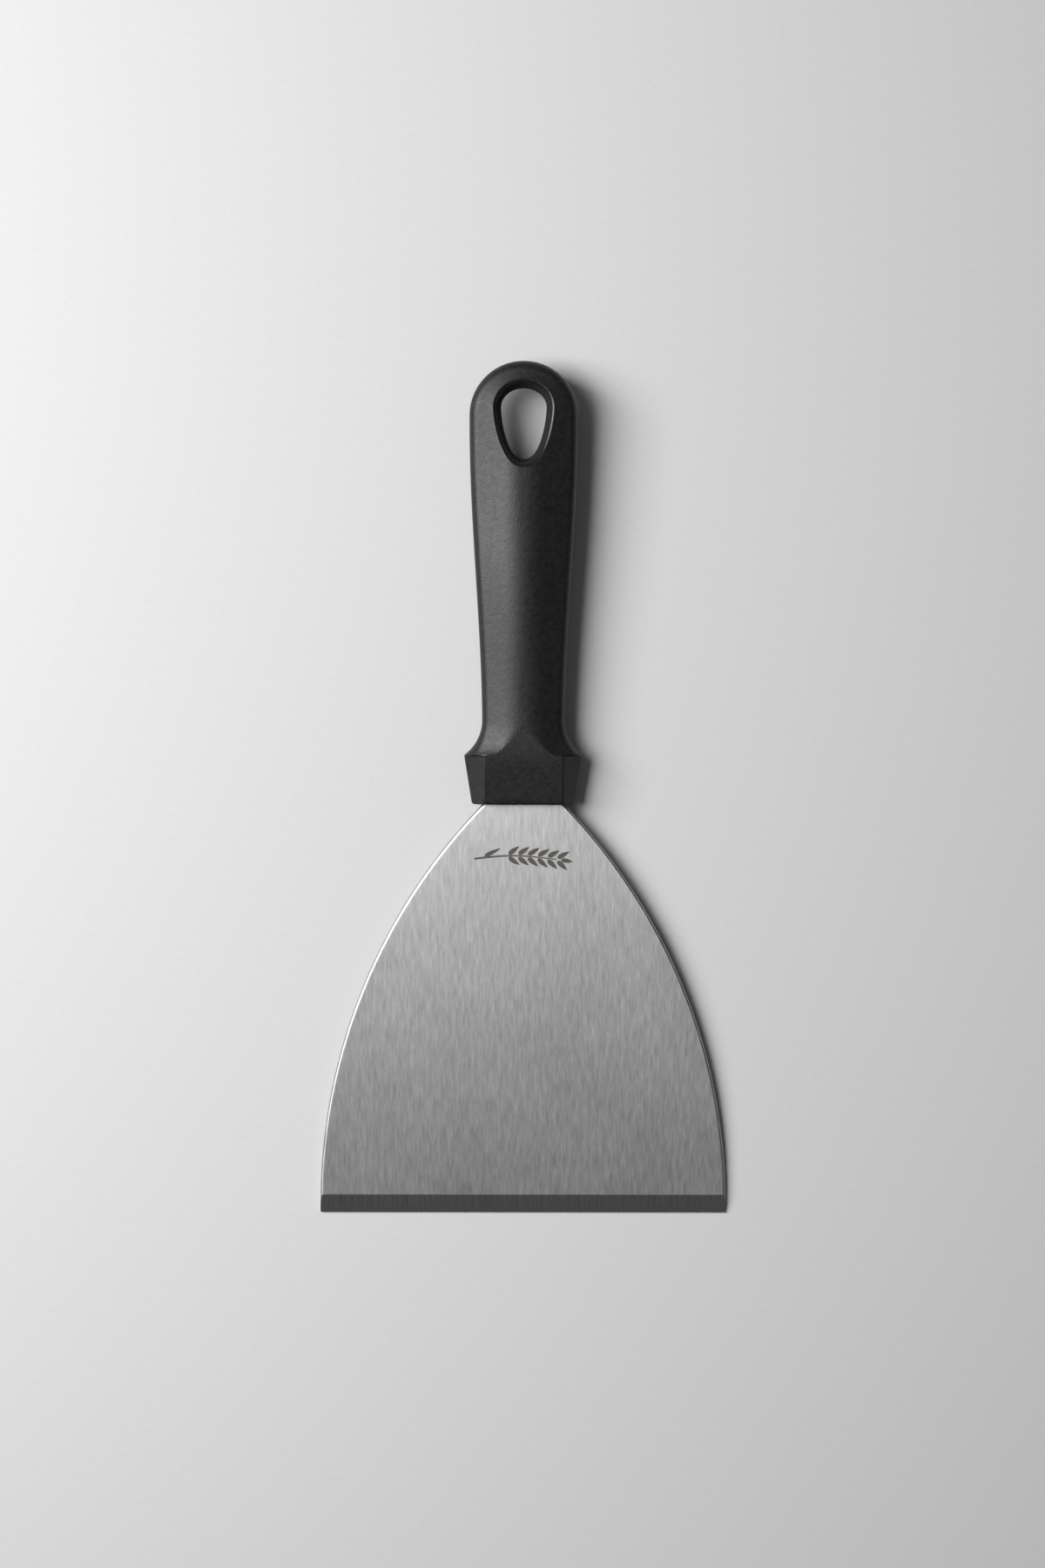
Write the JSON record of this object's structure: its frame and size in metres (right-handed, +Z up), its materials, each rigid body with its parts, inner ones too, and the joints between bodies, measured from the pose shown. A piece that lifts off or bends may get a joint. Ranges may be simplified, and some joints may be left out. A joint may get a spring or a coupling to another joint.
{
  "type": "bench scraper",
  "caption": "Bench scraper with a wide flared stainless blade, ground bevel edge and a black moulded handle with a teardrop hang hole.",
  "frame": {"origin": "centre of the object's bounding box at its base, on the counter it lies on", "axes": "+Y along the tool from the working edge to the butt, +Z up from the counter, +X across the blade"},
  "size_m": [0.12, 0.2516, 0.0177],
  "materials": {
    "blade_steel": "satin stainless steel, brushed along the tool from collar to working edge, edges polished",
    "handle_plastic": "black polypropylene with a fine spark-eroded texture and a soft sheen"
  },
  "bodies": {
    "root": {"blade": "blade_steel", "handle": "handle_plastic"}
  },
  "joints": []
}
